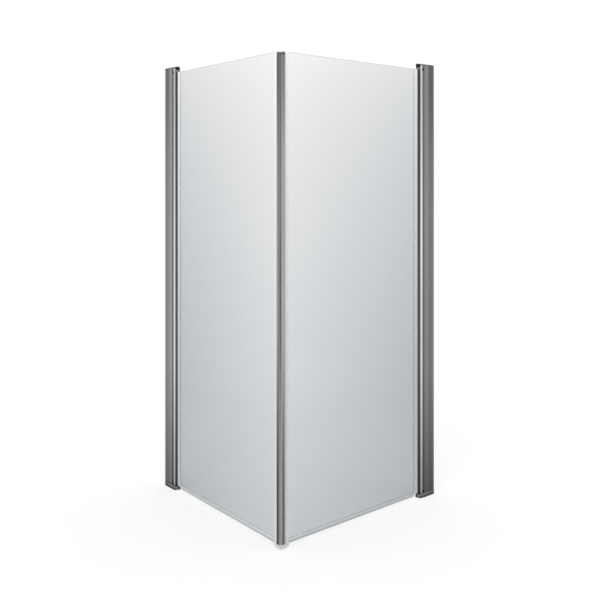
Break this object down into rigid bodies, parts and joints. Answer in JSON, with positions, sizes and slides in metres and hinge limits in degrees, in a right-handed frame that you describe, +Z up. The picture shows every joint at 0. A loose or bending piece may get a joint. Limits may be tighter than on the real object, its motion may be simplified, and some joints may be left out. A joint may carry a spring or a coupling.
{
  "type": "corner shower screen",
  "caption": "Square corner shower screen: framed clear glass doors hinged at wall profiles, meeting in a slim magnetic corner post, both opening outwards.",
  "frame": {"origin": "on the tray, at the middle of the left wall channel's back face", "axes": "+X from the left wall along the left panel to the front corner, +Y from the front corner along the right panel to the right wall, +Z up; the outside is -Y and +X"},
  "size_m": [0.907, 0.907, 2],
  "materials": {
    "channel_alloy": "satin anodised",
    "frame_alloy": "satin anodised",
    "block_alloy": "fine blasted",
    "post_alloy": "satin anodised",
    "dark_alloy": "dark anodised",
    "pad_rubber": "matt black",
    "black_steel": "blackened",
    "plain_steel": "plain stainless",
    "black_plastic": "matt black",
    "grey_plastic": "matt grey",
    "cap_plastic": "matt dark grey",
    "pale_plastic": "milky, smooth",
    "clear_glass": "clear toughened",
    "clear_strip": "clear soft plastic",
    "magnet_rubber": "matt grey"
  },
  "bodies": {
    "wall_frames": {"left_wall_channel": "channel_alloy", "left_frame_profile": "frame_alloy", "left_top_block": "block_alloy", "left_bottom_block": "block_alloy", "left_base_pad": "pad_rubber", "left_block_screws": "black_steel", "left_lock_screws": "plain_steel", "left_top_pivot_pin": "plain_steel", "left_bottom_pivot_pin": "plain_steel", "right_wall_channel": "channel_alloy", "right_frame_profile": "frame_alloy", "right_top_block": "block_alloy", "right_bottom_block": "block_alloy", "right_base_pad": "pad_rubber", "right_block_screws": "black_steel", "right_lock_screws": "plain_steel", "right_top_pivot_pin": "plain_steel", "right_bottom_pivot_pin": "plain_steel"},
    "left_door": {"left_hinge_bar": "dark_alloy", "left_top_bush": "black_plastic", "left_top_ring": "grey_plastic", "left_bottom_bush": "black_plastic", "left_glass": "clear_glass", "left_hinge_gasket": "clear_strip", "left_edge_gasket": "clear_strip", "left_corner_profile": "post_alloy", "left_corner_cap": "cap_plastic", "left_corner_foot": "pale_plastic", "left_magnet_strip": "magnet_rubber", "left_bottom_seal": "clear_strip"},
    "right_door": {"right_hinge_bar": "dark_alloy", "right_top_bush": "black_plastic", "right_top_ring": "grey_plastic", "right_bottom_bush": "black_plastic", "right_glass": "clear_glass", "right_hinge_gasket": "clear_strip", "right_edge_gasket": "clear_strip", "right_corner_profile": "post_alloy", "right_corner_cap": "cap_plastic", "right_corner_foot": "pale_plastic", "right_magnet_strip": "magnet_rubber", "right_bottom_seal": "clear_strip"}
  },
  "joints": [
    {"name": "left_door_swing", "type": "hinge", "parent": "wall_frames", "child": "left_door", "pos_m": [0.095, 0, 1], "axis": [0, 0, -1], "range_deg": [0, 90]},
    {"name": "right_door_swing", "type": "hinge", "parent": "wall_frames", "child": "right_door", "pos_m": [0.8925, 0.7975, 1], "axis": [0, 0, 1], "range_deg": [0, 90]}
  ]
}
